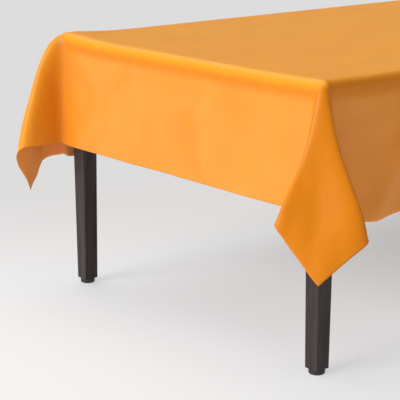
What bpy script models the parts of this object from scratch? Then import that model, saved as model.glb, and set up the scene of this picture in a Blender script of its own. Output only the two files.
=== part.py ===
"""A four-legged dining table under a draped plastic tablecloth.

Metres, +Z up. The origin is on the floor under the middle of the table, +X runs along the table's length
and +Y along its width. The front is the long side at -Y and the left is the short end at -X.
"""

import math

import bmesh
import bpy
from mathutils import Matrix, Vector

# ---- Overall sizes -------------------------------------------------------------------------------------
TABLE_LENGTH = 1.665
TABLE_WIDTH = 1.078
TABLE_HEIGHT = 0.743
CLOTH_LENGTH = 2.286
CLOTH_WIDTH = 1.778

# ---- Clearances ----------------------------------------------------------------------------------------
SEAT_GAP = 0.0003  # between two pieces that rest on each other
RUNNING_GAP = 0.0003  # around a pin, screw or lip in its hole
CLOTH_GAP = 0.0006  # between the cloth and the table top
HOLE_END_GAP = 0.001  # past the tip of a screw or bolt

# ---- Table top -----------------------------------------------------------------------------------------
TOP_THICKNESS = 0.028
TOP_EDGE_RADIUS = 0.022  # the round-over of the top edge, and the corner radius in plan
EDGE_SEGMENTS = 8

# ---- Legs ----------------------------------------------------------------------------------------------
LEG_WIDTH = 0.0522
LEG_FOOT_WIDTH = 0.0428
LEG_BLOCK_HEIGHT = 0.094  # the straight block at the head of the leg, above the taper
LEG_SETBACK = 0.0239  # from the table top's edge to the leg's outer face
LEG_EDGE_RADIUS = 0.002
LEG_CORNER_CUT = 0.014  # the 45 degree flat on the leg's inner corner, which faces the bracket

# ---- Aprons and centre rail ----------------------------------------------------------------------------
APRON_HEIGHT = 0.080
APRON_THICKNESS = 0.020
APRON_SETBACK = 0.008  # from the leg's outer face to the apron's
APRON_EDGE_RADIUS = 0.0015
RAIL_HEIGHT = 0.058
RAIL_THICKNESS = 0.022
RAIL_TENON_LENGTH = 0.010
RAIL_SHOULDER = 0.005  # the tenon is this much smaller than the rail on every side

# ---- Corner brackets -----------------------------------------------------------------------------------
BRACKET_THICKNESS = 0.002
BRACKET_HEIGHT = 0.052
BRACKET_WEB_REACH = 0.076  # where the 45 degree web would meet the apron's inner face, from the leg's centre
BRACKET_WING = 0.032
BRACKET_LIP = 0.008
BRACKET_DROP = 0.014  # from the underside of the table top to the bracket's upper edge

# ---- Fasteners -----------------------------------------------------------------------------------------
SCREW_RADIUS = 0.0020
SCREW_LENGTH = 0.016
SCREW_HEAD_RADIUS = 0.0042
SCREW_HEAD_HEIGHT = 0.0026
BOLT_RADIUS = 0.004
BOLT_DEPTH_IN_LEG = 0.036
BOLT_TAIL = 0.005  # past the nut
WASHER_RADIUS = 0.009
WASHER_THICKNESS = 0.0016
NUT_ACROSS_FLATS = 0.013
NUT_HEIGHT = 0.0065

# ---- Clips that hold the table top ---------------------------------------------------------------------
CLIP_THICKNESS = 0.0018
CLIP_WIDTH = 0.020
CLIP_TONGUE = 0.008  # how far it enters the groove in the apron
CLIP_REACH = 0.005  # from the apron to the step in the clip
CLIP_PLATE = 0.024
CLIP_DROP = 0.012  # from the underside of the table top to the groove
CLIP_SPACING = 0.800  # between the two clips of a long apron
CLIP_SCREW_LENGTH = 0.018

# ---- Levelling feet ------------------------------------------------------------------------------------
FOOT_RADIUS = 0.021
FOOT_HEIGHT = 0.0145
FOOT_EDGE_RADIUS = 0.004
FOOT_TRAVEL = 0.010
STUD_RADIUS = 0.004
STUD_LENGTH = 0.030
COLLAR_RADIUS = 0.0078
COLLAR_HEIGHT = 0.0040
SPIGOT_RADIUS = 0.0045
SPIGOT_LENGTH = 0.0035
INSERT_RADIUS = 0.0060
INSERT_LENGTH = 0.020
INSERT_FLANGE_RADIUS = 0.0105
INSERT_FLANGE_THICKNESS = 0.0015

# ---- Tablecloth ----------------------------------------------------------------------------------------
CLOTH_THICKNESS = 0.0010
SIDE_FLARE = math.radians(1.5)  # how far the sides hang out from the vertical
# The hanging corner, as (share of the corner's quarter turn of cloth, lean from the vertical, turn from
# the corner's diagonal): a flank runs out from the table's corner to a fold, a broad panel faces out
# between two folds, and a second flank runs back.
CORNER_FOLD = (
    (0.10, 9.0, -45.0),
    (0.20, 18.0, -45.0),
    (0.265, 23.6, -44.0),
    (0.31, 25.2, -39.0),
    (0.40, 21.4, -25.0),
    (0.50, 19.4, 0.0),
    (0.60, 21.4, 25.0),
    (0.69, 25.2, 39.0),
    (0.735, 23.6, 44.0),
    (0.80, 18.0, 45.0),
    (0.90, 9.0, 45.0),
)

# ---- Levels and places that follow from the sizes ------------------------------------------------------
UNDERSIDE = TABLE_HEIGHT - TOP_THICKNESS
LEG_TOP = UNDERSIDE - SEAT_GAP
LEG_BOTTOM = FOOT_HEIGHT + SEAT_GAP
LEG_HALF = LEG_WIDTH / 2
LEG_X = TABLE_LENGTH / 2 - LEG_SETBACK - LEG_HALF
LEG_Y = TABLE_WIDTH / 2 - LEG_SETBACK - LEG_HALF
APRON_OUTER = LEG_HALF - APRON_SETBACK  # from the leg's centre line
APRON_INNER = APRON_OUTER - APRON_THICKNESS
BRACKET_MIDDLE = LEG_TOP - BRACKET_DROP - BRACKET_HEIGHT / 2
WEB_DISTANCE = BRACKET_WEB_REACH / math.sqrt(2)  # from the leg's centre to the bracket's web, on the diagonal

# Each corner of the table, with the turn that brings a part made for the front left corner to it.
CORNERS = {
    "front_left": (-LEG_X, -LEG_Y, 0),
    "front_right": (LEG_X, -LEG_Y, 90),
    "back_right": (LEG_X, LEG_Y, 180),
    "back_left": (-LEG_X, LEG_Y, 270),
}

# Each clip's apron point in plan, with the turn that brings a clip made for the front apron to it.
CLIPS = {
    "front_left": (-CLIP_SPACING / 2, -LEG_Y - APRON_INNER, 0),
    "front_right": (CLIP_SPACING / 2, -LEG_Y - APRON_INNER, 0),
    "right": (LEG_X + APRON_INNER, 0, 90),
    "back_right": (CLIP_SPACING / 2, LEG_Y + APRON_INNER, 180),
    "back_left": (-CLIP_SPACING / 2, LEG_Y + APRON_INNER, 180),
    "left": (-LEG_X - APRON_INNER, 0, 270),
}

DIAGONAL = Vector((1, 1, 0)).normalized()  # from a front left leg's centre to the middle of the table


# ---- Scene and helpers ---------------------------------------------------------------------------------
for old in list(bpy.data.objects):
    bpy.data.objects.remove(old)

PARTS = bpy.data.collections.new("Table with tablecloth")
CUTTERS = bpy.data.collections.new("Cutters")
bpy.context.scene.collection.children.link(PARTS)
bpy.context.scene.collection.children.link(CUTTERS)


def make_material(name, colour, roughness, metallic=0.0):
    material = bpy.data.materials.new(name)
    material.use_nodes = True
    surface = material.node_tree.nodes["Principled BSDF"]
    surface.inputs["Base Color"].default_value = (*colour, 1.0)
    surface.inputs["Roughness"].default_value = roughness
    surface.inputs["Metallic"].default_value = metallic
    return material


ORANGE_VINYL = make_material("Orange vinyl", (1.0, 0.37, 0.03), 0.35)
DARK_WOOD = make_material("Espresso stained wood", (0.040, 0.026, 0.022), 0.45)
ZINC_STEEL = make_material("Zinc plated steel", (0.62, 0.61, 0.58), 0.35, 1.0)
BLACK_NYLON = make_material("Black nylon", (0.020, 0.018, 0.017), 0.55)


def add_part(name, mesh, material, place=None):
    """A named object in the parts collection, which becomes one node."""
    part = bpy.data.objects.new(name, mesh)
    if material is not None:
        mesh.materials.clear()
        mesh.materials.append(material)
    part.matrix_world = place or Matrix.Identity(4)
    PARTS.objects.link(part)
    return part


def add_cutter(name, mesh, place=None):
    cutter = bpy.data.objects.new(name, mesh)
    cutter.matrix_world = place or Matrix.Identity(4)
    cutter.hide_render = True
    cutter.display_type = "WIRE"
    CUTTERS.objects.link(cutter)
    return cutter


def cut(part, cutter):
    modifier = part.modifiers.new(cutter.name, "BOOLEAN")
    modifier.operation = "DIFFERENCE"
    modifier.object = cutter


def mesh_from(bm, name):
    """The finished mesh of a bmesh, shaded smooth between its sharp edges."""
    mesh = bpy.data.meshes.new(name)
    bm.to_mesh(mesh)
    bm.free()
    mesh.shade_smooth()
    mesh.set_sharp_from_angle(angle=math.radians(40))
    return mesh


def box_mesh(name, low, high, edge_radius=0.0):
    bm = bmesh.new()
    bmesh.ops.create_cube(bm, size=1.0)
    low, high = Vector(low), Vector(high)
    bmesh.ops.scale(bm, vec=high - low, verts=bm.verts)
    bmesh.ops.translate(bm, vec=(low + high) / 2, verts=bm.verts)
    if edge_radius:
        bmesh.ops.bevel(
            bm, geom=bm.edges[:], offset=edge_radius, segments=2, profile=0.5, affect="EDGES", material=-1
        )
    return mesh_from(bm, name)


def cylinder_mesh(name, radius, low, high, sides=16):
    """A cylinder on the Z axis between two heights."""
    bm = bmesh.new()
    bmesh.ops.create_cone(
        bm, cap_ends=True, segments=sides, radius1=radius, radius2=radius, depth=high - low
    )
    bmesh.ops.translate(bm, vec=(0, 0, (low + high) / 2), verts=bm.verts)
    return mesh_from(bm, name)


def turned_part(name, profile, material, place, sides=16):
    """A piece turned about Z from a profile of (radius, height) points, which run down its outer side."""
    mesh = bpy.data.meshes.new(name)
    mesh.from_pydata([(r, 0, z) for r, z in profile], [(i, i + 1) for i in range(len(profile) - 1)], [])
    part = add_part(name, mesh, material, place)
    screw = part.modifiers.new("Turn", "SCREW")
    screw.axis = "Z"
    screw.steps = sides
    screw.render_steps = sides
    screw.use_merge_vertices = True
    screw.merge_threshold = 0.00001
    return part


def bent_strip(name, path, width, thickness, material, place):
    """Sheet metal bent along a path in the XY plane, standing width high about Z = 0."""
    bm = bmesh.new()
    verts = [bm.verts.new((x, y, -width / 2)) for x, y in path]
    edges = [bm.edges.new(pair) for pair in zip(verts, verts[1:])]
    risen = bmesh.ops.extrude_edge_only(bm, edges=edges)["geom"]
    bmesh.ops.translate(bm, vec=(0, 0, width), verts=[g for g in risen if isinstance(g, bmesh.types.BMVert)])
    part = add_part(name, mesh_from(bm, name), material, place)
    solidify = part.modifiers.new("Sheet", "SOLIDIFY")
    solidify.thickness = thickness
    solidify.offset = 0.0
    solidify.use_even_offset = True
    return part


def turn_about_z(degrees):
    return Matrix.Rotation(math.radians(degrees), 4, "Z")


def aimed(point, direction):
    """The place of a piece that stands on point with its own +Z along direction."""
    return Matrix.Translation(point) @ Vector(direction).to_track_quat("Z", "Y").to_matrix().to_4x4()


def corner_place(corner):
    x, y, degrees = CORNERS[corner]
    return Matrix.Translation((x, y, 0)) @ turn_about_z(degrees)


def pan_screw(name, length, place):
    """A pan head screw whose head stands on Z = 0 of its place, with the shank below."""
    profile = (
        (0, SCREW_HEAD_HEIGHT),
        (SCREW_HEAD_RADIUS * 0.6, SCREW_HEAD_HEIGHT),
        (SCREW_HEAD_RADIUS, SCREW_HEAD_HEIGHT * 0.45),
        (SCREW_HEAD_RADIUS, 0),
        (SCREW_RADIUS, 0),
        (SCREW_RADIUS, -length + SCREW_RADIUS),
        (0, -length),
    )
    return turned_part(name, profile, ZINC_STEEL, place, sides=12)


def screw_hole(name, length, place):
    mesh = cylinder_mesh(name, SCREW_RADIUS + RUNNING_GAP, -length - HOLE_END_GAP, SCREW_HEAD_HEIGHT)
    return add_cutter(name, mesh, place)


# ---- Table top -----------------------------------------------------------------------------------------
def make_table_top():
    """A slab with a rounded top edge, and corners that are rounded to the same radius."""
    bm = bmesh.new()
    bmesh.ops.create_cube(bm, size=1.0)
    bmesh.ops.scale(bm, vec=(TABLE_LENGTH, TABLE_WIDTH, TOP_THICKNESS), verts=bm.verts)
    rounded = [e for e in bm.edges if max(v.co.z for v in e.verts) > 0]
    bmesh.ops.bevel(
        bm,
        geom=rounded,
        offset=TOP_EDGE_RADIUS,
        segments=EDGE_SEGMENTS,
        profile=0.5,
        affect="EDGES",
        material=-1,
    )
    bmesh.ops.translate(bm, vec=(0, 0, TABLE_HEIGHT - TOP_THICKNESS / 2), verts=bm.verts)
    return add_part("table_top", mesh_from(bm, "table_top"), DARK_WOOD)


# ---- Legs ----------------------------------------------------------------------------------------------
def make_leg(corner):
    """A square leg with a straight head block, a four-sided taper and a flat cut on its inner corner."""
    name = f"leg_{corner}"
    bm = bmesh.new()
    bmesh.ops.create_cube(bm, size=LEG_WIDTH)
    head = LEG_TOP - LEG_BLOCK_HEIGHT
    for vert in bm.verts:
        vert.co.z = LEG_TOP if vert.co.z > 0 else head
    foot_face = next(f for f in bm.faces if f.normal.z < -0.9)
    tapered = bmesh.ops.extrude_face_region(bm, geom=[foot_face])["geom"]
    bmesh.ops.delete(bm, geom=[foot_face], context="FACES_ONLY")
    for vert in (g for g in tapered if isinstance(g, bmesh.types.BMVert)):
        vert.co.x *= LEG_FOOT_WIDTH / LEG_WIDTH
        vert.co.y *= LEG_FOOT_WIDTH / LEG_WIDTH
        vert.co.z = LEG_BOTTOM
    uprights = [e for e in bm.edges if abs(e.verts[0].co.z - e.verts[1].co.z) > LEG_WIDTH]
    bmesh.ops.bevel(
        bm, geom=uprights, offset=LEG_EDGE_RADIUS, segments=2, profile=0.5, affect="EDGES", material=-1
    )
    place = corner_place(corner)
    leg = add_part(name, mesh_from(bm, name), DARK_WOOD, place)

    flat = LEG_WIDTH - LEG_CORNER_CUT  # where x + y is cut off
    corner_box = box_mesh(
        f"{name}_corner_cut",
        (flat / math.sqrt(2), -LEG_WIDTH, LEG_TOP - LEG_BLOCK_HEIGHT + LEG_CORNER_CUT),
        (LEG_WIDTH, LEG_WIDTH, LEG_TOP + LEG_WIDTH),
    )
    cut(leg, add_cutter(f"{name}_corner_cut", corner_box, place @ turn_about_z(45)))

    bolt = cylinder_mesh(
        f"{name}_bolt_hole", BOLT_RADIUS + RUNNING_GAP, -BOLT_DEPTH_IN_LEG - HOLE_END_GAP, LEG_WIDTH
    )
    bolt_place = place @ aimed(DIAGONAL * flat / math.sqrt(2) + Vector((0, 0, BRACKET_MIDDLE)), DIAGONAL)
    cut(leg, add_cutter(f"{name}_bolt_hole", bolt, bolt_place))

    for label, radius, depth in (
        ("flange_seat", INSERT_FLANGE_RADIUS, INSERT_FLANGE_THICKNESS + SEAT_GAP),
        ("insert_hole", INSERT_RADIUS, INSERT_LENGTH + SEAT_GAP),
        ("stud_hole", STUD_RADIUS, STUD_LENGTH + HOLE_END_GAP),
    ):
        low, high = LEG_BOTTOM - FOOT_HEIGHT / 2, LEG_BOTTOM + depth
        hole = cylinder_mesh(f"{name}_{label}", radius + RUNNING_GAP, low, high)
        cut(leg, add_cutter(f"{name}_{label}", hole, place))
    return leg


# ---- Aprons and centre rail ----------------------------------------------------------------------------
def make_apron(name, length, place):
    """A rail between two legs. It is made along X with its inner face towards +Y, on Y = 0."""
    low = (-length / 2, -APRON_THICKNESS, LEG_TOP - APRON_HEIGHT)
    high = (length / 2, 0, LEG_TOP)
    return add_part(name, box_mesh(name, low, high, APRON_EDGE_RADIUS), DARK_WOOD, place)


def make_aprons():
    long_length = 2 * (LEG_X - LEG_HALF - SEAT_GAP)
    short_length = 2 * (LEG_Y - LEG_HALF - SEAT_GAP)
    inner_y = LEG_Y + APRON_INNER
    inner_x = LEG_X + APRON_INNER
    return {
        "front": make_apron("apron_front", long_length, Matrix.Translation((0, -inner_y, 0))),
        "back": make_apron(
            "apron_back", long_length, Matrix.Translation((0, inner_y, 0)) @ turn_about_z(180)
        ),
        "left": make_apron(
            "apron_left", short_length, Matrix.Translation((-inner_x, 0, 0)) @ turn_about_z(270)
        ),
        "right": make_apron(
            "apron_right", short_length, Matrix.Translation((inner_x, 0, 0)) @ turn_about_z(90)
        ),
    }


def make_centre_rail(aprons):
    """A rail under the middle of the table top, with a tenon in each long apron."""
    shoulder_y = LEG_Y + APRON_INNER - SEAT_GAP
    low = (-RAIL_THICKNESS / 2, -shoulder_y, LEG_TOP - RAIL_HEIGHT)
    high = (RAIL_THICKNESS / 2, shoulder_y, LEG_TOP)
    bm = bmesh.new()
    bm.from_mesh(box_mesh("centre_rail_body", low, high))
    ends = [f for f in bm.faces if abs(f.normal.y) > 0.9]
    bmesh.ops.inset_individual(bm, faces=ends, thickness=RAIL_SHOULDER, use_even_offset=True)
    for end in ends:
        outward = Vector((0, math.copysign(RAIL_TENON_LENGTH, end.normal.y), 0))
        tenon = bmesh.ops.extrude_face_region(bm, geom=[end])["geom"]
        bmesh.ops.delete(bm, geom=[end], context="FACES_ONLY")
        bmesh.ops.translate(bm, vec=outward, verts=[g for g in tenon if isinstance(g, bmesh.types.BMVert)])
    add_part("centre_rail", mesh_from(bm, "centre_rail"), DARK_WOOD)

    half_width = RAIL_THICKNESS / 2 - RAIL_SHOULDER + RUNNING_GAP
    reach = shoulder_y + RAIL_TENON_LENGTH + RUNNING_GAP
    for side, sign in (("front", -1), ("back", 1)):
        corners_y = sorted((sign * (shoulder_y - RAIL_SHOULDER), sign * reach))
        mortise = box_mesh(
            f"mortise_{side}",
            (-half_width, corners_y[0], LEG_TOP - RAIL_HEIGHT + RAIL_SHOULDER - RUNNING_GAP),
            (half_width, corners_y[1], LEG_TOP - RAIL_SHOULDER + RUNNING_GAP),
        )
        cut(aprons[side], add_cutter(f"mortise_{side}", mortise))


# ---- Corner brackets, hanger bolts, washers, nuts and bracket screws -----------------------------------
def make_corner_joint(corner, aprons_at_corner):
    """The pressed bracket that ties two aprons to a leg, and all that fastens it.

    It is made about the front left leg's centre: the first apron runs along X and the second along Y.
    """
    place = corner_place(corner)
    middle = place @ Matrix.Translation((0, 0, BRACKET_MIDDLE))
    seat = -APRON_INNER + SEAT_GAP + BRACKET_THICKNESS / 2  # the sheet's middle line on the apron's face
    bend = BRACKET_WEB_REACH - seat
    tip = bend + BRACKET_WING
    lip = -APRON_INNER - BRACKET_LIP
    path = ((tip, lip), (tip, seat), (bend, seat), (seat, bend), (seat, tip), (lip, tip))
    bracket = bent_strip(
        f"corner_bracket_{corner}", path, BRACKET_HEIGHT, BRACKET_THICKNESS, ZINC_STEEL, middle
    )

    web = place @ aimed(DIAGONAL * WEB_DISTANCE + Vector((0, 0, BRACKET_MIDDLE)), DIAGONAL)
    bolt_hole = cylinder_mesh(
        f"bolt_hole_{corner}", BOLT_RADIUS + RUNNING_GAP, -BRACKET_THICKNESS * 2, BRACKET_THICKNESS * 2
    )
    cut(bracket, add_cutter(f"bolt_hole_{corner}", bolt_hole, web))

    slot_half = BRACKET_THICKNESS / 2 + RUNNING_GAP
    slot_height = BRACKET_HEIGHT / 2 + RUNNING_GAP
    screw_at = bend + BRACKET_WING * 0.45
    head_seat = seat + BRACKET_THICKNESS / 2 + SEAT_GAP
    for number, apron in enumerate(aprons_at_corner, 1):
        low = Vector((tip - slot_half, lip - RUNNING_GAP, -slot_height))
        high = Vector((tip + slot_half, seat, slot_height))
        screw_point, head_out = Vector((screw_at, head_seat, 0)), Vector((0, 1, 0))
        if number == 2:  # the same on the other apron, mirrored in the diagonal
            low, high, screw_point, head_out = (v.yxz for v in (low, high, screw_point, head_out))
        slot_name = f"lip_slot_{corner}_{number}"
        cut(apron, add_cutter(slot_name, box_mesh(slot_name, low, high), middle))
        screw_place = middle @ aimed(screw_point, head_out)
        pan_screw(f"bracket_screw_{corner}_{number}", SCREW_LENGTH, screw_place)
        hole = screw_hole(f"bracket_screw_hole_{corner}_{number}", SCREW_LENGTH, screw_place)
        cut(bracket, hole)
        cut(apron, hole)

    make_hanger_bolt(corner, web)


def make_hanger_bolt(corner, web):
    """A stud from the leg through the bracket's web, with its washer and nut.

    web is the place of the web's middle, with +Z pointing in to the middle of the table.
    """
    washer_seat = BRACKET_THICKNESS / 2 + SEAT_GAP
    nut_seat = washer_seat + WASHER_THICKNESS + SEAT_GAP
    flat_distance = (LEG_WIDTH - LEG_CORNER_CUT) / math.sqrt(2)
    inner_end = nut_seat + NUT_HEIGHT + BOLT_TAIL
    leg_end = flat_distance - BOLT_DEPTH_IN_LEG - WEB_DISTANCE
    chamfer = BOLT_RADIUS * 0.3
    bolt = (
        (0, inner_end),
        (BOLT_RADIUS - chamfer, inner_end),
        (BOLT_RADIUS, inner_end - chamfer),
        (BOLT_RADIUS, leg_end + BOLT_RADIUS),
        (0, leg_end),
    )
    turned_part(f"hanger_bolt_{corner}", bolt, ZINC_STEEL, web)

    bore = BOLT_RADIUS + RUNNING_GAP
    for label, radius, low, height, sides in (
        ("washer", WASHER_RADIUS, washer_seat, WASHER_THICKNESS, 20),
        ("hex_nut", NUT_ACROSS_FLATS / math.sqrt(3), nut_seat, NUT_HEIGHT, 6),
    ):
        name = f"{label}_{corner}"
        ring = add_part(name, cylinder_mesh(name, radius, low, low + height, sides), ZINC_STEEL, web)
        hole = cylinder_mesh(f"{name}_bore", bore, low - height, low + 2 * height)
        cut(ring, add_cutter(f"{name}_bore", hole, web))


# ---- Clips that hold the table top ---------------------------------------------------------------------
def make_top_clip(label, apron, table_top):
    """A stepped steel clip: a tongue in the apron's groove, and a plate screwed up to the table top."""
    x, y, degrees = CLIPS[label]
    on_apron = Matrix.Translation((x, y, UNDERSIDE)) @ turn_about_z(degrees)
    tongue = -CLIP_DROP
    plate = -SEAT_GAP - CLIP_THICKNESS / 2
    path = (
        (-CLIP_TONGUE, tongue),
        (CLIP_REACH, tongue),
        (CLIP_REACH + CLIP_THICKNESS, plate),
        (CLIP_REACH + CLIP_THICKNESS + CLIP_PLATE, plate),
    )
    # The strip's path is drawn in its own XY plane, so it is stood up: its X runs in from the apron's face
    # and its Y runs up.
    upright = Matrix(((0, 0, 1, 0), (1, 0, 0, 0), (0, 1, 0, 0), (0, 0, 0, 1)))
    clip = bent_strip(
        f"top_clip_{label}", path, CLIP_WIDTH, CLIP_THICKNESS, ZINC_STEEL, on_apron @ upright
    )

    groove_half = CLIP_THICKNESS / 2 + RUNNING_GAP
    groove = box_mesh(
        f"clip_groove_{label}",
        (-CLIP_WIDTH / 2 - RUNNING_GAP, -CLIP_TONGUE - RUNNING_GAP, tongue - groove_half),
        (CLIP_WIDTH / 2 + RUNNING_GAP, CLIP_REACH, tongue + groove_half),
    )
    cut(apron, add_cutter(f"clip_groove_{label}", groove, on_apron))

    screw_y = CLIP_REACH + CLIP_THICKNESS + CLIP_PLATE / 2
    head_seat = plate - CLIP_THICKNESS / 2 - SEAT_GAP
    place = on_apron @ aimed(Vector((0, screw_y, head_seat)), Vector((0, 0, -1)))
    pan_screw(f"clip_screw_{label}", CLIP_SCREW_LENGTH, place)
    hole = screw_hole(f"clip_screw_hole_{label}", CLIP_SCREW_LENGTH, place)
    cut(clip, hole)
    cut(table_top, hole)


# ---- Levelling feet ------------------------------------------------------------------------------------
def make_levelling_foot(corner):
    """A threaded insert in the leg, a stud that turns in it, and a round pad that the stud's end turns in."""
    place = corner_place(corner)
    flange_low = LEG_BOTTOM + SEAT_GAP
    bore = STUD_RADIUS + RUNNING_GAP
    insert = turned_part(
        f"foot_insert_{corner}",
        (
            (bore, flange_low + INSERT_LENGTH - SEAT_GAP),
            (INSERT_RADIUS, flange_low + INSERT_LENGTH - SEAT_GAP),
            (INSERT_RADIUS, flange_low + INSERT_FLANGE_THICKNESS - SEAT_GAP),
            (INSERT_FLANGE_RADIUS, flange_low + INSERT_FLANGE_THICKNESS - SEAT_GAP),
            (INSERT_FLANGE_RADIUS, flange_low),
            (bore, flange_low),
            (bore, flange_low + INSERT_LENGTH - SEAT_GAP),
        ),
        ZINC_STEEL,
        place,
    )

    collar_top = FOOT_HEIGHT - SEAT_GAP
    collar_low = collar_top - COLLAR_HEIGHT
    stud_top = LEG_BOTTOM + STUD_LENGTH
    stud = turned_part(
        f"foot_stud_{corner}",
        (
            (0, stud_top),
            (STUD_RADIUS * 0.75, stud_top),
            (STUD_RADIUS, stud_top - STUD_RADIUS * 0.25),
            (STUD_RADIUS, collar_top),
            (COLLAR_RADIUS, collar_top),
            (COLLAR_RADIUS, collar_low),
            (SPIGOT_RADIUS, collar_low),
            (SPIGOT_RADIUS, collar_low - SPIGOT_LENGTH + SPIGOT_RADIUS * 0.3),
            (SPIGOT_RADIUS * 0.7, collar_low - SPIGOT_LENGTH),
            (0, collar_low - SPIGOT_LENGTH),
        ),
        ZINC_STEEL,
        place,
    )

    recess = COLLAR_RADIUS + RUNNING_GAP
    socket = SPIGOT_RADIUS + RUNNING_GAP
    step = collar_low - SEAT_GAP
    floor = step - SPIGOT_LENGTH - SEAT_GAP
    round_over = [
        (
            FOOT_RADIUS - FOOT_EDGE_RADIUS * (1 - math.cos(a)),
            FOOT_EDGE_RADIUS * (1 - math.sin(a)),
        )
        for a in (math.radians(22.5 * i) for i in range(5))
    ]
    pad = turned_part(
        f"foot_pad_{corner}",
        [
            (0, floor),
            (socket, floor),
            (socket, step),
            (recess, step),
            (recess, FOOT_HEIGHT),
            (FOOT_RADIUS - 0.001, FOOT_HEIGHT),
            (FOOT_RADIUS, FOOT_HEIGHT - 0.001),
            *round_over,
            (0, 0),
        ],
        BLACK_NYLON,
        place,
        sides=32,
    )
    return insert, stud, pad


# ---- Tablecloth ----------------------------------------------------------------------------------------
def cloth_column(base, outward, hang, length):
    """Points down the cloth from the flat top: round the table's edge, then straight to the hem."""
    radius = TOP_EDGE_RADIUS + CLOTH_GAP
    centre = Vector((base.x, base.y, TABLE_HEIGHT - TOP_EDGE_RADIUS))
    full_turn = math.radians(90) - SIDE_FLARE
    points = []
    for i in range(EDGE_SEGMENTS + 1):
        angle = full_turn * i / EDGE_SEGMENTS
        points.append(centre + radius * (outward * math.sin(angle) + Vector((0, 0, 1)) * math.cos(angle)))
    straight = length - radius * full_turn
    return points + [points[-1] + hang * straight * share for share in (0.25, 0.5, 0.75, 1.0)]


def leaning(heading, lean):
    """A unit vector that hangs down, leaning out from the vertical along a heading."""
    level = Vector((math.cos(heading), math.sin(heading), 0))
    return level * math.sin(lean) - Vector((0, 0, 1)) * math.cos(lean)


def corner_hang(share):
    """How the cloth hangs at a share of a corner's quarter turn, for a corner that starts at +X."""
    quarter = math.radians(90)
    known = [(0.0, leaning(0, SIDE_FLARE))]
    known += [(s, leaning(math.radians(45 + turn), math.radians(lean))) for s, lean, turn in CORNER_FOLD]
    known.append((1.0, leaning(quarter, SIDE_FLARE)))
    for (start, first), (end, second) in zip(known, known[1:]):
        if share <= end:
            return first.slerp(second, (share - start) / (end - start))
    return known[-1][1]


def cloth_stations():
    """Each place round the table where a column of the cloth hangs: its base, outward, hang and length."""
    half_x = TABLE_LENGTH / 2 - TOP_EDGE_RADIUS
    half_y = TABLE_WIDTH / 2 - TOP_EDGE_RADIUS
    end_length = CLOTH_LENGTH / 2 - half_x  # cloth beyond the flat top at the short ends
    side_length = CLOTH_WIDTH / 2 - half_y
    stations = []
    for number, (sign_x, sign_y) in enumerate(((1, 1), (-1, 1), (-1, -1), (1, -1))):
        base = Vector((half_x * sign_x, half_y * sign_y, 0))
        first, second = (end_length, side_length) if number % 2 == 0 else (side_length, end_length)
        tip_share = math.atan2(second, first) / math.radians(90)
        turn = Matrix.Rotation(math.radians(90 * number), 3, "Z")
        for share in sorted((0.0, *(fold[0] for fold in CORNER_FOLD), tip_share, 1.0)):
            within = math.radians(90) * share
            outward = turn @ Vector((math.cos(within), math.sin(within), 0))
            to_first_hem = first / max(math.cos(within), 1e-6)
            to_second_hem = second / max(math.sin(within), 1e-6)
            length = min(to_first_hem, to_second_hem)
            stations.append((base, outward, turn @ corner_hang(share), length))
    return stations


def make_tablecloth():
    """One thin sheet: flat on the table top, hanging at the sides, with a folded tail at each corner."""
    bm = bmesh.new()
    columns = []
    for base, outward, hang, length in cloth_stations():
        columns.append([bm.verts.new(p) for p in cloth_column(base, outward, hang, length)])
    for left, right in zip(columns, columns[1:] + columns[:1]):
        for i in range(len(left) - 1):
            bm.faces.new((left[i], left[i + 1], right[i + 1], right[i]))
    bmesh.ops.remove_doubles(bm, verts=bm.verts, dist=0.00001)
    rim = [e for e in bm.edges if e.is_boundary and min(v.co.z for v in e.verts) > TABLE_HEIGHT]
    bmesh.ops.contextual_create(bm, geom=rim)
    bmesh.ops.recalc_face_normals(bm, faces=bm.faces)
    if max(bm.faces, key=lambda f: f.calc_center_median().z).normal.z < 0:
        bmesh.ops.reverse_faces(bm, faces=bm.faces)
    cloth = add_part("tablecloth", mesh_from(bm, "tablecloth"), ORANGE_VINYL)
    solidify = cloth.modifiers.new("Sheet", "SOLIDIFY")
    solidify.thickness = CLOTH_THICKNESS
    solidify.offset = 1.0
    return cloth


# ---- Assembly ------------------------------------------------------------------------------------------
def main():
    table_top = make_table_top()
    aprons = make_aprons()
    make_centre_rail(aprons)
    aprons_at = {
        "front_left": (aprons["front"], aprons["left"]),
        "front_right": (aprons["right"], aprons["front"]),
        "back_right": (aprons["back"], aprons["right"]),
        "back_left": (aprons["left"], aprons["back"]),
    }
    for corner in CORNERS:
        make_leg(corner)
        make_corner_joint(corner, aprons_at[corner])
        make_levelling_foot(corner)
    clip_aprons = {
        "front_left": "front",
        "front_right": "front",
        "right": "right",
        "back_right": "back",
        "back_left": "back",
        "left": "left",
    }
    for label, side in clip_aprons.items():
        make_top_clip(label, aprons[side], table_top)
    make_tablecloth()


main()
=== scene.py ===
"""The looks of the table with its draped plastic tablecloth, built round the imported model."""

import math

import bmesh
import bpy
from mathutils import Euler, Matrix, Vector, noise


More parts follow.
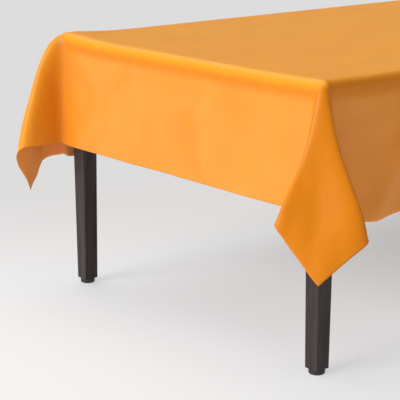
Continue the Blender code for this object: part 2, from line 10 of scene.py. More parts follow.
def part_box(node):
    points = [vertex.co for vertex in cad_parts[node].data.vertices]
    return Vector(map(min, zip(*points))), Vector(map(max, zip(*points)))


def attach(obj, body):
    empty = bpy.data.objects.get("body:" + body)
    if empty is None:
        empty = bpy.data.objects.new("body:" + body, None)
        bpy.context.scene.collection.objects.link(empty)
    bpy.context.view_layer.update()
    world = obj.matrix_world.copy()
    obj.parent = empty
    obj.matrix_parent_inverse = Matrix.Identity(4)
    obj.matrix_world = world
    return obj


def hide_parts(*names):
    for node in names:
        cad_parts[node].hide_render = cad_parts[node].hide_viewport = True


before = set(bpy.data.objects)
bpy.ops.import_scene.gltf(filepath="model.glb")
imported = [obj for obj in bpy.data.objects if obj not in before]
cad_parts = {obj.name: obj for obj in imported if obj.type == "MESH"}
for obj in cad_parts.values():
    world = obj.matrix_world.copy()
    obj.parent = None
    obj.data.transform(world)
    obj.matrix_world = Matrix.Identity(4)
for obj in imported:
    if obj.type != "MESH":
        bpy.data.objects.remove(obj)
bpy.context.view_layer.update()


# ---- Camera --------------------------------------------------------------------------------------
# A long lens a few metres off the front left corner, a little above the table top and looking down
# at it.
TABLE_LOW, TABLE_HIGH = (Vector(corner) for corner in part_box("table_top"))
camera_data = bpy.data.cameras.new("camera")
camera_data.sensor_width = 36
camera_data.lens = 125.75
camera = bpy.data.objects.new("camera", camera_data)
camera.location = (TABLE_LOW.x - 2.2818, TABLE_LOW.y - 2.2674, TABLE_HIGH.z + 0.5455)
camera.rotation_euler = Euler((math.radians(75.575), 0, math.radians(-40.089)))
bpy.context.collection.objects.link(camera)
bpy.context.scene.camera = camera
TOWARD_CAMERA = (-0.743, -0.669, 0)  # over the floor, from the middle of the table


# ---- Studio --------------------------------------------------------------------------------------
# A seamless white floor in a pale room, lit by a broad low bank of lights on the left and a weaker
# one overhead. Both banks are so far off that they light the floor and the table evenly.
FLOOR_REACH = 40  # from the middle of the table to each side of the floor
LAMP_DISTANCE = 8  # only the direction of such a distant light matters


def studio_floor():
    """A white sweep that glows a little, so that shadows on it stay pale, and less toward the back."""
    bm = bmesh.new()
    bmesh.ops.create_grid(bm, x_segments=1, y_segments=1, size=FLOOR_REACH)
    mesh = bpy.data.meshes.new("floor")
    bm.to_mesh(mesh)
    bm.free()
    paint = bpy.data.materials.new("floor paint")
    paint.use_nodes = True
    surface = paint.node_tree.nodes["Principled BSDF"]
    surface.inputs["Base Color"].default_value = (0.36, 0.36, 0.36, 1)
    surface.inputs["Roughness"].default_value = 0.9
    surface.inputs["Specular IOR Level"].default_value = 0.1
    surface.inputs["Emission Color"].default_value = (1, 1, 1, 1)
    nodes, links = paint.node_tree.nodes, paint.node_tree.links
    place = nodes.new("ShaderNodeTexCoord")
    nearness = nodes.new("ShaderNodeVectorMath")
    nearness.operation = "DOT_PRODUCT"
    nearness.inputs[1].default_value = TOWARD_CAMERA
    glow = nodes.new("ShaderNodeMapRange")
    glow.interpolation_type = "SMOOTHSTEP"
    glow.inputs["From Min"].default_value = -0.9
    glow.inputs["From Max"].default_value = 0.9
    glow.inputs["To Min"].default_value = 0.370
    glow.inputs["To Max"].default_value = 0.550
    links.new(place.outputs["Object"], nearness.inputs[0])
    links.new(nearness.outputs["Value"], glow.inputs["Value"])
    links.new(glow.outputs["Result"], surface.inputs["Emission Strength"])
    mesh.materials.append(paint)
    floor = bpy.data.objects.new("floor", mesh)
    bpy.context.collection.objects.link(floor)


def light_bank(name, direction, spread, strength):
    """A broad, distant light from a direction, spread degrees wide as the table sees it."""
    light = bpy.data.lights.new(name, "SUN")
    light.angle = math.radians(spread)
    light.energy = strength
    lamp = bpy.data.objects.new(name, light)
    lamp.location = Vector(direction).normalized() * LAMP_DISTANCE
    lamp.rotation_euler = Vector(direction).to_track_quat("Z", "Y").to_euler()
    bpy.context.collection.objects.link(lamp)


def pale_room(light_strength, seen_strength):
    """A white surround. One strength lights the table, and the camera sees the other behind it."""
    world = bpy.data.worlds.new("pale room")
    world.use_nodes = True
    nodes, links = world.node_tree.nodes, world.node_tree.links
    background = nodes["Background"]
    background.inputs["Color"].default_value = (1, 1, 1, 1)
    path = nodes.new("ShaderNodeLightPath")
    strength = nodes.new("ShaderNodeMapRange")
    strength.inputs["To Min"].default_value = light_strength
    strength.inputs["To Max"].default_value = seen_strength
    links.new(path.outputs["Is Camera Ray"], strength.inputs["Value"])
    links.new(strength.outputs["Result"], background.inputs["Strength"])
    bpy.context.scene.world = world


studio_floor()
light_bank("left bank", (-1.0, 0.10, 0.42), 36, 2.25)
light_bank("overhead bank", (0.1, 0.5, 1.0), 60, 1.45)
pale_room(light_strength=0.27, seen_strength=0.80)
bpy.context.scene.view_settings.view_transform = "Standard"


# ---- Table top, aprons, centre rail and legs -----------------------------------------------------
# Solid wood stained a dark espresso brown under a thin satin lacquer. The grain runs along each piece:
# along the top and the long rails, across on the short rails and the centre rail, and up the legs.
def group_with(name, inputs, outputs):
    """A node group with these inputs and outputs, and the two nodes that stand for them inside it."""
    group = bpy.data.node_groups.new(name, "ShaderNodeTree")
    for label, kind, value in inputs:
        socket = group.interface.new_socket(label, in_out="INPUT", socket_type=kind)
        if value is not None:
            socket.default_value = value
    for label, kind in outputs:
        group.interface.new_socket(label, in_out="OUTPUT", socket_type=kind)
    return group, group.nodes.new("NodeGroupInput"), group.nodes.new("NodeGroupOutput")


def wood_grain_group():
    """Streaks of darker and lighter stain with open pores. Its vector is stretched along the grain."""
    group, given, result = group_with(
        "wood grain",
        (
            ("Vector", "NodeSocketVector", None),
            ("Dark", "NodeSocketColor", (0.021, 0.015, 0.0145, 1)),
            ("Light", "NodeSocketColor", (0.064, 0.047, 0.044, 1)),
        ),
        (("Color", "NodeSocketColor"), ("Height", "NodeSocketFloat")),
    )
    nodes, links = group.nodes, group.links
    streaks = nodes.new("ShaderNodeTexNoise")
    streaks.inputs["Scale"].default_value = 1.0
    streaks.inputs["Detail"].default_value = 6
    streaks.inputs["Roughness"].default_value = 0.62
    streaks.inputs["Distortion"].default_value = 0.5
    pores = nodes.new("ShaderNodeTexNoise")
    pores.inputs["Scale"].default_value = 5.0
    pores.inputs["Detail"].default_value = 3
    stain = nodes.new("ShaderNodeValToRGB")
    stain.color_ramp.elements[0].position = 0.30
    stain.color_ramp.elements[1].position = 0.72
    colour = nodes.new("ShaderNodeMix")
    colour.data_type = "RGBA"
    depth = nodes.new("ShaderNodeMapRange")
    depth.inputs["From Min"].default_value = 0.35
    depth.inputs["From Max"].default_value = 0.55
    links.new(given.outputs["Vector"], streaks.inputs["Vector"])
    links.new(given.outputs["Vector"], pores.inputs["Vector"])
    links.new(streaks.outputs["Fac"], stain.inputs["Fac"])
    links.new(stain.outputs["Color"], colour.inputs["Factor"])
    links.new(given.outputs["Dark"], colour.inputs["A"])
    links.new(given.outputs["Light"], colour.inputs["B"])
    links.new(pores.outputs["Fac"], depth.inputs["Value"])
    links.new(colour.outputs["Result"], result.inputs["Color"])
    links.new(depth.outputs["Result"], result.inputs["Height"])
    return group


def handling_marks_group():
    """A roughness that drifts between two values, as a surface that has been handled and wiped has."""
    group, given, result = group_with(
        "handling marks",
        (
            ("Vector", "NodeSocketVector", None),
            ("Least", "NodeSocketFloat", 0.3),
            ("Most", "NodeSocketFloat", 0.5),
        ),
        (("Roughness", "NodeSocketFloat"),),
    )
    nodes, links = group.nodes, group.links
    smears = nodes.new("ShaderNodeTexNoise")
    smears.inputs["Scale"].default_value = 9.0
    smears.inputs["Detail"].default_value = 4
    smears.inputs["Distortion"].default_value = 0.8
    spread = nodes.new("ShaderNodeMapRange")
    spread.inputs["From Min"].default_value = 0.3
    spread.inputs["From Max"].default_value = 0.7
    links.new(given.outputs["Vector"], smears.inputs["Vector"])
    links.new(smears.outputs["Fac"], spread.inputs["Value"])
    links.new(given.outputs["Least"], spread.inputs["To Min"])
    links.new(given.outputs["Most"], spread.inputs["To Max"])
    links.new(spread.outputs["Result"], result.inputs["Roughness"])
    return group


WOOD_GRAIN = wood_grain_group()
HANDLING_MARKS = handling_marks_group()


def placed_group(nodes, group):
    node = nodes.new("ShaderNodeGroup")
    node.node_tree = group
    return node


def espresso_wood(name, stretch):
    """Stained wood whose grain pattern is repeated stretch times a metre along X, Y and Z."""
    material = bpy.data.materials.new(name)
    material.use_nodes = True
    nodes, links = material.node_tree.nodes, material.node_tree.links
    surface = nodes["Principled BSDF"]
    place = nodes.new("ShaderNodeTexCoord")
    along = nodes.new("ShaderNodeMapping")
    along.inputs["Scale"].default_value = stretch
    grain = placed_group(nodes, WOOD_GRAIN)
    marks = placed_group(nodes, HANDLING_MARKS)
    marks.inputs["Least"].default_value = 0.32
    marks.inputs["Most"].default_value = 0.48
    pores = nodes.new("ShaderNodeBump")
    pores.inputs["Strength"].default_value = 0.25
    pores.inputs["Distance"].default_value = 0.0004
    links.new(place.outputs["Object"], along.inputs["Vector"])
    links.new(along.outputs["Vector"], grain.inputs["Vector"])
    links.new(place.outputs["Object"], marks.inputs["Vector"])
    links.new(grain.outputs["Color"], surface.inputs["Base Color"])
    links.new(grain.outputs["Height"], pores.inputs["Height"])
    links.new(pores.outputs["Normal"], surface.inputs["Normal"])
    links.new(marks.outputs["Roughness"], surface.inputs["Roughness"])
    surface.inputs["Specular IOR Level"].default_value = 0.22
    return material


def finish(names, material):
    """Gives the pieces of these names one material."""
    for name in names:
        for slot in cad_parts[name].material_slots:
            slot.material = material


CORNERS = ("front_left", "front_right", "back_right", "back_left")
LONG_WOOD = espresso_wood("espresso wood along the table", (4, 70, 70))
CROSS_WOOD = espresso_wood("espresso wood across the table", (70, 4, 70))
UPRIGHT_WOOD = espresso_wood("espresso wood upright", (70, 70, 4))
finish(("table_top", "apron_front", "apron_back"), LONG_WOOD)
finish(("apron_left", "apron_right", "centre_rail"), CROSS_WOOD)
finish([f"leg_{corner}" for corner in CORNERS], UPRIGHT_WOOD)


# ---- Corner brackets, bolts, screws and clips ----------------------------------------------------
# Pressed and turned steel with a thin bright zinc plating, which is a little cloudy. They tie the
# aprons to the legs and the top to the aprons, out of sight under the cloth.
def zinc_plated_steel():
    material = bpy.data.materials.new("zinc plated steel")
    material.use_nodes = True
    nodes, links = material.node_tree.nodes, material.node_tree.links
    surface = nodes["Principled BSDF"]
    surface.inputs["Metallic"].default_value = 1.0
    place = nodes.new("ShaderNodeTexCoord")
    cloud = nodes.new("ShaderNodeTexNoise")
    cloud.inputs["Scale"].default_value = 55
    cloud.inputs["Detail"].default_value = 3
    plating = nodes.new("ShaderNodeMix")
    plating.data_type = "RGBA"
    plating.inputs["A"].default_value = (0.50, 0.50, 0.49, 1)
    plating.inputs["B"].default_value = (0.70, 0.69, 0.65, 1)
    marks = placed_group(nodes, HANDLING_MARKS)
    marks.inputs["Least"].default_value = 0.26
    marks.inputs["Most"].default_value = 0.44
    links.new(place.outputs["Object"], cloud.inputs["Vector"])
    links.new(place.outputs["Object"], marks.inputs["Vector"])
    links.new(cloud.outputs["Fac"], plating.inputs["Factor"])
    links.new(plating.outputs["Result"], surface.inputs["Base Color"])
    links.new(marks.outputs["Roughness"], surface.inputs["Roughness"])
    return material


PLATED_STEEL = zinc_plated_steel()
CLIPS = ("front_left", "front_right", "right", "back_right", "back_left", "left")
for corner in CORNERS:
    finish([f"corner_bracket_{corner}", f"hanger_bolt_{corner}", f"washer_{corner}"], PLATED_STEEL)
    finish([f"hex_nut_{corner}", f"bracket_screw_{corner}_1", f"bracket_screw_{corner}_2"], PLATED_STEEL)
for place in CLIPS:
    finish([f"top_clip_{place}", f"clip_screw_{place}"], PLATED_STEEL)


# ---- Levelling feet ------------------------------------------------------------------------------
# A round black nylon pad on a plated threaded stud, which turns in a plated insert in the leg's end.
def black_nylon():
    material = bpy.data.materials.new("black nylon")
    material.use_nodes = True
    nodes, links = material.node_tree.nodes, material.node_tree.links
    surface = nodes["Principled BSDF"]
    surface.inputs["Base Color"].default_value = (0.022, 0.020, 0.019, 1)
    place = nodes.new("ShaderNodeTexCoord")
    marks = placed_group(nodes, HANDLING_MARKS)
    marks.inputs["Least"].default_value = 0.48
    marks.inputs["Most"].default_value = 0.66
    moulded = nodes.new("ShaderNodeTexNoise")
    moulded.inputs["Scale"].default_value = 900
    skin = nodes.new("ShaderNodeBump")
    skin.inputs["Strength"].default_value = 0.2
    skin.inputs["Distance"].default_value = 0.0002
    links.new(place.outputs["Object"], marks.inputs["Vector"])
    links.new(place.outputs["Object"], moulded.inputs["Vector"])
    links.new(moulded.outputs["Fac"], skin.inputs["Height"])
    links.new(skin.outputs["Normal"], surface.inputs["Normal"])
    links.new(marks.outputs["Roughness"], surface.inputs["Roughness"])
    return material


finish([f"foot_pad_{corner}" for corner in CORNERS], black_nylon())
finish([f"foot_stud_{corner}" for corner in CORNERS], PLATED_STEEL)
finish([f"foot_insert_{corner}" for corner in CORNERS], PLATED_STEEL)


# ---- Tablecloth ----------------------------------------------------------------------------------
# One sheet of smooth orange vinyl film, laid over the table: flat on the top, hanging at the sides and
# falling into a folded tail at each corner. A line down it keeps its length and only the way it hangs
# changes, but across the corner folds the sheet gathers.
CLOTH_LENGTH = 2.286
CLOTH_WIDTH = 1.778
CLOTH_SHIFT = 0.0065  # the sheet lies this much nearer the back
EDGE_RADIUS = 0.022  # the table's round-over
FILM_GAP = 0.0012  # between the table and the middle of the film
FILM_THICKNESS = 0.0006
FLAT_X = TABLE_HIGH.x - EDGE_RADIUS  # half the flat of the table top
FLAT_Y = TABLE_HIGH.y - EDGE_RADIUS
FRONT_REACH = CLOTH_WIDTH / 2 - CLOTH_SHIFT - FLAT_Y  # from the flat top's edge to the hem
BACK_REACH = CLOTH_WIDTH / 2 + CLOTH_SHIFT - FLAT_Y
END_REACH = CLOTH_LENGTH / 2 - FLAT_X
RUN_STEP = 0.005  # between the points of a line down the cloth
TURN_STEPS = 120  # between the first and last lines of a corner's turn
TINY = 1e-6  # keeps a division from nought
# The turn of cloth about a table corner, as (share of the turn, lean from the vertical, turn from the
# diagonal). A flank runs out to a ridge, a broad panel faces out, and a second flank runs back.
FRONT_TURN = (
    (0.0, 1.5, -45.0),
    (0.10, 9.0, -45.0),
    (0.20, 18.0, -45.0),
    (0.265, 24.0, -45.0),
    (0.30, 25.8, -42.0),
    (0.40, 21.4, -29.0),
    (0.50, 19.4, -9.0),
    (0.60, 20.4, 17.0),
    (0.70, 24.6, 40.0),
    (0.735, 23.8, 45.0),
    (0.80, 18.0, 45.0),
    (0.90, 9.0, 45.0),
    (1.0, 1.5, 45.0),
)
BACK_TURN = (
    (0.0, 1.5, -45.0),
    (0.05, 3.0, -45.0),
    (0.12, 9.5, -45.0),
    (0.20, 18.0, -45.0),
    (0.26, 22.8, -44.0),
    (0.30, 25.0, -41.0),
    (0.34, 25.6, -36.0),
    (0.38, 24.8, -29.0),
    (0.45, 20.0, -16.0),
    (0.50, 14.5, -8.0),
    (0.54, 12.4, 0.0),
    (0.60, 12.6, 24.0),
    (0.70, 14.0, 38.0),
    (0.80, 10.0, 42.0),
    (0.90, 5.0, 45.0),
    (1.0, 1.5, 45.0),
)
# How a tail's lean changes on its way down, as (share of the way, share of the lean by the short
# side's ridge, share by the long side's ridge). The front tails hang close at the top and flare
# further down, and the back ones spread from the corner and then drop.
FLARING = (
    (0.0, 0.60, 0.60),
    (0.30, 0.62, 0.78),
    (0.50, 0.95, 1.25),
    (0.68, 1.35, 1.35),
    (0.80, 1.45, 1.20),
    (0.92, 1.15, 0.75),
    (1.0, 0.75, 0.20),
)
SPREADING = (
    (0.0, 1.70, 1.50),
    (0.15, 1.44, 1.40),
    (0.30, 1.08, 1.10),
    (0.50, 0.84, 0.88),
    (0.70, 0.65, 0.68),
    (0.85, 0.46, 0.52),
    (1.0, 0.28, 0.35),
)
# Soft creases in the hanging sides, as (side, start, end, half width, height). A place is the
# distance along the side from its middle and the distance down the cloth from the flat of the top.
CREASES = (
    ("front", (-0.668, 0.370), (-0.560, 0.205), 0.028, 0.0095),
    ("front", (-0.560, 0.205), (-0.500, 0.080), 0.035, 0.0055),
    ("left", (0.060, 0.110), (-0.055, 0.205), 0.018, 0.0050),
    ("left", (-0.055, 0.205), (-0.170, 0.090), 0.018, 0.0050),
    ("left", (0.300, 0.060), (0.210, 0.320), 0.050, 0.0022),
    ("left", (-0.330, 0.080), (-0.270, 0.325), 0.050, 0.0018),
)
# The slow waves of the hanging sides: their heights, how many to a metre, and which slice of the noise.
WAVE_HEIGHTS = {"left": 0.005, "right": 0.020, "front": 0.004, "back": 0.020}
WAVE_RATE = 3.3
WAVE_SLICE = 4.2
HEM_ROUNDS = 8


def between(stops, share):
    """The value or values at a share, along a list of (share, value, ...) stops."""
    for first, second in zip(stops, stops[1:]):
        if share <= second[0]:
            part = (share - first[0]) / (second[0] - first[0])
            return [a + (b - a) * part for a, b in zip(first[1:], second[1:])]
    return list(stops[-1][1:])


def ramp(value, low, high):
    """Nought below low, one above high, and a smooth rise between them."""
    part = min(max((value - low) / (high - low), 0), 1)
    return part * part * (3 - 2 * part)


def line_down_the_cloth(share, turn, style, side_reach, roll, late):
    """The way down from the flat top's edge, a step at a time, at a share of a corner's turn."""
    within = math.radians(90 * share)
    outward = Vector((math.cos(within), math.sin(within), 0))
    reach = min(END_REACH / max(math.cos(within), TINY), side_reach / max(math.sin(within), TINY))
    lean, heading = between(turn, share)
    heading = math.radians(45 + heading)
    widened = 1 + (roll - 1) * math.sin(math.pi * share) ** 0.5
    rolled = (EDGE_RADIUS + FILM_GAP) * math.radians(90) * widened
    by_a_side = 1 - ramp(min(share, 1 - share), 0, 0.30)
    second_ridge = min(max((share - 0.3) / 0.4, 0), 1)
    place, points, run = Vector((0, 0, 0)), [Vector((0, 0, 0))], 0.0
    while run < reach + RUN_STEP:
        first_share, second_share = between(style, min(run / reach, 1))
        upright = late * by_a_side * (1 - ramp(run / reach, 0.10, 0.55))
        lean_share = first_share + (second_share - first_share) * second_ridge
        tilt = math.radians(lean * (1 - upright) * lean_share)
        hang = Vector(
            (math.cos(heading) * math.sin(tilt), math.sin(heading) * math.sin(tilt), -math.cos(tilt))
        )
        place = place + outward.slerp(hang, min((run + RUN_STEP / 2) / rolled, 1)) * RUN_STEP
        points.append(place)
        run += RUN_STEP
    return points


def tail(turn, style, side_reach, roll, late):
    """The lines of one corner. roll widens its bend, and late keeps its flanks upright higher up."""
    steps = [step / TURN_STEPS for step in range(TURN_STEPS + 1)]
    return [line_down_the_cloth(share, turn, style, side_reach, roll, late) for share in steps]


FRONT_TAIL = tail(FRONT_TURN, FLARING, FRONT_REACH, roll=1.4, late=0.0)
BACK_TAIL = tail(BACK_TURN, SPREADING, BACK_REACH, roll=1.9, late=0.8)


def along(points, run):
    """The place at a distance down a line of points."""
    step = min(int(run / RUN_STEP), len(points) - 2)
    return points[step].lerp(points[step + 1], run / RUN_STEP - step)


def crease_height(side, place, down):
    """How far the creases of a side push the film out at a place along the side and down the cloth."""
    height = 0.0
    for on_side, start, end, half_width, rise in CREASES:
        if on_side != side:
            continue
        start, end, here = Vector(start), Vector(end), Vector((place, down))
        part = (here - start).dot(end - start) / (end - start).length_squared
        inside = min(max(part, 0), 1)
        off = (here - start.lerp(end, inside)).length
        height += rise * math.exp(-((off / half_width) ** 2))
    return height


def swelling(x, y, past_x, past_y):
    """The slow waves of a hanging side: outward at the foot of the film, and none near the table."""
    run = math.hypot(past_x, past_y)
    turn = math.atan2(past_y, past_x)
    in_corner = math.sin(2 * turn)
    on_end = past_x > past_y
    side = ("left" if x < 0 else "right") if on_end else ("front" if y < 0 else "back")
    wave = noise.noise(Vector((x * WAVE_RATE, y * WAVE_RATE, WAVE_SLICE))) * WAVE_HEIGHTS[side]
    wave = wave * (1 - 0.8 * in_corner) * ramp(run, 0.05, 0.36)
    folds = crease_height(side, y if on_end else x, run)
    folds = folds * (1 - in_corner) * ramp(run, 0.05, 0.12)
    return Vector((math.cos(turn), math.sin(turn), 0)) * (wave + folds)


def hem_rise(x, y, past_x, past_y):
    """How far the hem is drawn up where a side turns into a tail, or let down in the lobe beside it."""
    share = math.atan2(past_y, past_x) / math.radians(90)
    by_valley = math.exp(-((min(share, 1 - share) / 0.06) ** 2))
    in_valley = by_valley * ramp(min(past_x, past_y), -0.001, 0.012)
    from_corner = x + FLAT_X
    on_front_left = y < 0 and past_y > 0 and x < 0
    lobe = math.exp(-(((from_corner - 0.165) / 0.05) ** 2)) if on_front_left else 0
    return (0.007 * in_valley - 0.008 * lobe) * ramp(math.hypot(past_x, past_y), 0.2, 0.36)


def corner_swell(x, y, run, turn):
    """The film stands a little off a corner in a soft swelling: how far up, and how far out."""
    size = 1.0 if y > 0 else 0.35
    from_corner = math.hypot(FLAT_X - min(abs(x), FLAT_X), FLAT_Y - min(abs(y), FLAT_Y))
    up = 0.009 * size * math.exp(-((from_corner / 0.11) ** 2)) * (1 - ramp(run, 0.03, 0.20))
    out = 0.012 * size * math.sin(2 * turn) ** 0.7 * ramp(run, 0.0, 0.04) * (1 - ramp(run, 0.08, 0.24))
    return Vector((math.cos(turn) * out, math.sin(turn) * out, up))


def past_flat_top(x, y):
    """How far a point of the flat sheet lies past the flat of the table top, along X and along Y."""
    return max(abs(x) - FLAT_X, 0), max(abs(y + CLOTH_SHIFT) - FLAT_Y, 0)


def laid_on_table(x, y):
    """Where a point of the flat sheet goes. It keeps its distance down the cloth from the flat top."""
    past_x, past_y = past_flat_top(x, y)
    y += CLOTH_SHIFT
    run = math.hypot(past_x, past_y)
    point = Vector((min(abs(x), FLAT_X), min(abs(y), FLAT_Y), TABLE_HIGH.z + FILM_GAP))
    point += corner_swell(x, y, run, math.atan2(past_y, past_x) if past_x and past_y else 0)
    if run:
        lines = FRONT_TAIL if y < 0 else BACK_TAIL
        place = math.atan2(past_y, past_x) / math.radians(90) * TURN_STEPS
        step = min(int(place), TURN_STEPS - 1)
        point += along(lines[step], run).lerp(along(lines[step + 1], run), place - step)
        if run > 0.05:
            point += swelling(x, y, past_x, past_y)
            point.z += hem_rise(x, y, past_x, past_y)
    return Vector((math.copysign(point.x, x), math.copysign(point.y, y), point.z))


def graded(share, flat, whole):
    """Grid lines at shares from -1 to 1: wide apart on the top, and close where the cloth hangs."""
    inner, inner_share = flat - 0.05, 0.3
    distance = abs(share)
    if distance < inner_share:
        place = inner * distance / inner_share
    else:
        place = inner + (whole - inner) * (distance - inner_share) / (1 - inner_share)
    return math.copysign(place, share)


def paleness(x, y):
    """One where light comes through: on the sides below the edge, and on the back tails' ridges."""
    past_x, past_y = past_flat_top(x, y)
    share = math.atan2(past_y, past_x) / math.radians(90)
    below_edge = ramp(math.hypot(past_x, past_y), 0.045, 0.075)
    inset = FLAT_Y - abs(y + CLOTH_SHIFT) if past_x > past_y else FLAT_X - abs(x)
    on_side = ramp(inset, -0.01, 0.09) if y > 0 else ramp(inset, -0.03, 0.02)
    on_ridge = math.exp(-(((min(share, 1 - share) - 0.35) / 0.06) ** 2)) if y > 0 and share else 0
    return below_edge * max(on_side, on_ridge)


def painted_light_on_top(x, y):
    """Painted light: one on the top and over its edge, and less on the back tails' flanks."""
    past_x, past_y = past_flat_top(x, y)
    turn = math.atan2(past_y, past_x)
    over_edge = 0.018 * math.cos(turn)
    lit_top = 1 - ramp(math.hypot(past_x, past_y), over_edge, over_edge + 0.030)
    lit_flank = 0.6 * ramp(math.sin(2 * turn), 0.30, 0.85) if y > 0 and past_x and past_y else 0
    return max(lit_top, lit_flank)


def make_tablecloth():
    """The sheet as a graded grid that keeps its flat place in its UV map, laid and then softened."""
    bm = bmesh.new()
    bmesh.ops.create_grid(bm, x_segments=216, y_segments=212, size=1)
    for vert in bm.verts:
        vert.co.x = graded(vert.co.x, FLAT_X, CLOTH_LENGTH / 2)
        vert.co.y = graded(vert.co.y, FLAT_Y, CLOTH_WIDTH / 2)
    flat = bm.loops.layers.uv.new("flat")
    pale = bm.verts.layers.float.new("lit through")
    # painted light: where the film takes the lighter colour of the lit top
    top_light_mask = bm.verts.layers.float.new("painted light on top")
    for face in bm.faces:
        for loop in face.loops:
            loop[flat].uv = loop.vert.co.xy
    front_tails, back_tails, round_tails, hems = [], [], [], []
    for vert in bm.verts:
        x, y = vert.co.x, vert.co.y
        vert[pale] = paleness(x, y)
        vert[top_light_mask] = painted_light_on_top(x, y)
        past_x, past_y = abs(x) - FLAT_X, abs(y + CLOTH_SHIFT) - FLAT_Y
        run = math.hypot(max(past_x, 0), max(past_y, 0))
        in_corner = min(past_x, past_y)
        by_a_tail = in_corner > -0.01 and run > 0.032 or in_corner > -0.04 and run > 0.06
        if by_a_tail and not vert.is_boundary:
            round_tails.append(vert)
        if in_corner > 0.004 or in_corner > -0.02 and run > 0.05:
            if not vert.is_boundary:
                (front_tails if y < 0 else back_tails).append(vert)
            elif len(vert.link_edges) > 2:
                hems.append(vert)
        vert.co = laid_on_table(x, y)
    for _ in range(HEM_ROUNDS):
        middles = []
        for vert in hems:
            beside = (edge.other_vert(vert).co for edge in vert.link_edges if edge.is_boundary)
            middles.append(sum(beside, Vector()) / 2)
        for vert, middle in zip(hems, middles):
            vert.co = vert.co.lerp(middle, 0.5)
    for verts, rounds in ((front_tails, 14), (back_tails, 26), (round_tails, 12)):
        for _ in range(rounds):
            bmesh.ops.smooth_vert(
                bm, verts=verts, factor=0.5, use_axis_x=True, use_axis_y=True, use_axis_z=True
            )
    mesh = bpy.data.meshes.new("tablecloth_sheet")
    bm.to_mesh(mesh)
    bm.free()
    mesh.shade_smooth()
    cloth = bpy.data.objects.new("tablecloth_sheet", mesh)
    bpy.context.collection.objects.link(cloth)
    film = cloth.modifiers.new("Film", "SOLIDIFY")
    film.thickness = FILM_THICKNESS
    film.offset = 0
    film.material_offset = 1
    film.material_offset_rim = 0
    return cloth


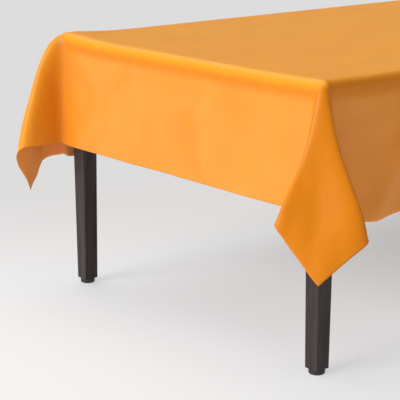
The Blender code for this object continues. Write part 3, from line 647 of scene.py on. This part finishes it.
def vinyl_film(name, lit_top, deep_and_shaded, hanging, least, most, crumple):
    """Plastic film, with light and shade painted into its colour: deeper in colour against the table
    and on the tails, where no light comes through it, paler where light comes through it, and
    lighter on the lit top.

    Its texture runs with the flat sheet, in metres: long faint streaks, painted a little darker as
    shade, and a few soft crumples.
    """
    material = bpy.data.materials.new(name)
    material.use_nodes = True
    nodes, links = material.node_tree.nodes, material.node_tree.links
    surface = nodes["Principled BSDF"]
    sheet_place = nodes.new("ShaderNodeUVMap")
    sheet_place.uv_map = "flat"
    lit_through = nodes.new("ShaderNodeAttribute")
    lit_through.attribute_name = "lit through"
    colour = nodes.new("ShaderNodeMix")
    colour.data_type = "RGBA"
    # Painted shade: the film's deep colour where no light comes through it, darkened further on the
    # tails.
    colour.inputs["A"].default_value = (*deep_and_shaded, 1)
    # Painted light: the paler colour where light comes through the film.
    colour.inputs["B"].default_value = (*hanging, 1)
    lit_through_patches = nodes.new("ShaderNodeTexNoise")  # painted light coming through the film, in random patches
    lit_through_patches.inputs["Scale"].default_value = 4.5
    lit_through_patches.inputs["Detail"].default_value = 1
    lit_through_patches.inputs["Distortion"].default_value = 1.4
    patches = nodes.new("ShaderNodeMapRange")
    patches.inputs["From Min"].default_value = 0.30
    patches.inputs["From Max"].default_value = 0.70
    patches.inputs["To Min"].default_value = 0.60
    pale_patches = nodes.new("ShaderNodeMath")
    pale_patches.operation = "MULTIPLY"
    links.new(sheet_place.outputs["UV"], lit_through_patches.inputs["Vector"])
    links.new(lit_through_patches.outputs["Fac"], patches.inputs["Value"])
    links.new(lit_through.outputs["Fac"], pale_patches.inputs[0])
    links.new(patches.outputs["Result"], pale_patches.inputs[1])
    links.new(pale_patches.outputs["Value"], colour.inputs["Factor"])
    # Painted light: the top, its edge band and the back tails' flanks take a lighter colour.
    top_light_mask = nodes.new("ShaderNodeAttribute")
    top_light_mask.attribute_name = "painted light on top"
    mixed_in_top_light = nodes.new("ShaderNodeMix")
    mixed_in_top_light.data_type = "RGBA"
    mixed_in_top_light.inputs["B"].default_value = (*lit_top, 1)
    links.new(top_light_mask.outputs["Fac"], mixed_in_top_light.inputs["Factor"])
    links.new(colour.outputs["Result"], mixed_in_top_light.inputs["A"])

    lengthwise = nodes.new("ShaderNodeMapping")
    lengthwise.inputs["Scale"].default_value = (2.0, 8, 1)
    streaks = nodes.new("ShaderNodeTexNoise")
    streaks.inputs["Scale"].default_value = 1.0
    streaks.inputs["Detail"].default_value = 4
    streaks.inputs["Distortion"].default_value = 1.3
    links.new(sheet_place.outputs["UV"], lengthwise.inputs["Vector"])
    links.new(lengthwise.outputs["Vector"], streaks.inputs["Vector"])
    # Painted shade: the colour darkens a little along the long streaks, as the shading of long folds.
    shade = nodes.new("ShaderNodeMapRange")
    shade.inputs["From Min"].default_value = 0.25
    shade.inputs["From Max"].default_value = 0.75
    shade.inputs["To Min"].default_value = 0.94
    shade.inputs["To Max"].default_value = 1.0
    streak_shaded = nodes.new("ShaderNodeMix")
    streak_shaded.data_type = "RGBA"
    streak_shaded.blend_type = "MULTIPLY"
    streak_shaded.inputs["Factor"].default_value = 1.0
    links.new(streaks.outputs["Fac"], shade.inputs["Value"])
    links.new(mixed_in_top_light.outputs["Result"], streak_shaded.inputs["A"])
    links.new(shade.outputs["Result"], streak_shaded.inputs["B"])
    links.new(streak_shaded.outputs["Result"], surface.inputs["Base Color"])

    crumples = nodes.new("ShaderNodeTexNoise")
    crumples.inputs["Scale"].default_value = 4.5
    crumples.inputs["Detail"].default_value = 3
    crumples.inputs["Distortion"].default_value = 1.2
    links.new(sheet_place.outputs["UV"], crumples.inputs["Vector"])
    long_folds = nodes.new("ShaderNodeBump")
    long_folds.inputs["Distance"].default_value = 0.008
    only_on_top = nodes.new("ShaderNodeMath")
    only_on_top.operation = "MULTIPLY"
    only_on_top.inputs[1].default_value = 0.8
    links.new(top_light_mask.outputs["Fac"], only_on_top.inputs[0])
    links.new(only_on_top.outputs["Value"], long_folds.inputs["Strength"])
    soft_folds = nodes.new("ShaderNodeBump")
    soft_folds.inputs["Strength"].default_value = crumple
    soft_folds.inputs["Distance"].default_value = 0.008
    links.new(streaks.outputs["Fac"], long_folds.inputs["Height"])
    links.new(crumples.outputs["Fac"], soft_folds.inputs["Height"])
    links.new(long_folds.outputs["Normal"], soft_folds.inputs["Normal"])
    links.new(soft_folds.outputs["Normal"], surface.inputs["Normal"])

    marks = placed_group(nodes, HANDLING_MARKS)
    marks.inputs["Least"].default_value = least
    marks.inputs["Most"].default_value = most
    links.new(sheet_place.outputs["UV"], marks.inputs["Vector"])
    links.new(marks.outputs["Roughness"], surface.inputs["Roughness"])
    surface.inputs["Specular IOR Level"].default_value = 0.22
    return material


cloth = make_tablecloth()
# Light and shade are painted into the film's colours: a lighter lit top, a deep colour where no light
# comes through, darkened on the tails, and a paler one where light comes through.
cloth.data.materials.append(
    vinyl_film(
        "orange vinyl film",
        lit_top=(0.98, 0.382, 0.018),
        deep_and_shaded=(0.80, 0.238, 0.005),
        hanging=(0.95, 0.335, 0.044),
        least=0.34,
        most=0.44,
        crumple=0.38,
    )
)
# Painted light: the underside's colours are bright and pale, standing in for light coming through the
# film.
cloth.data.materials.append(
    vinyl_film(
        "underside of the film",
        lit_top=(0.95, 0.36, 0.050),
        deep_and_shaded=(0.98, 0.36, 0.105),
        hanging=(0.98, 0.38, 0.120),
        least=0.55,
        most=0.68,
        crumple=0.25,
    )
)
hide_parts("tablecloth")
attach(cloth, "cloth")
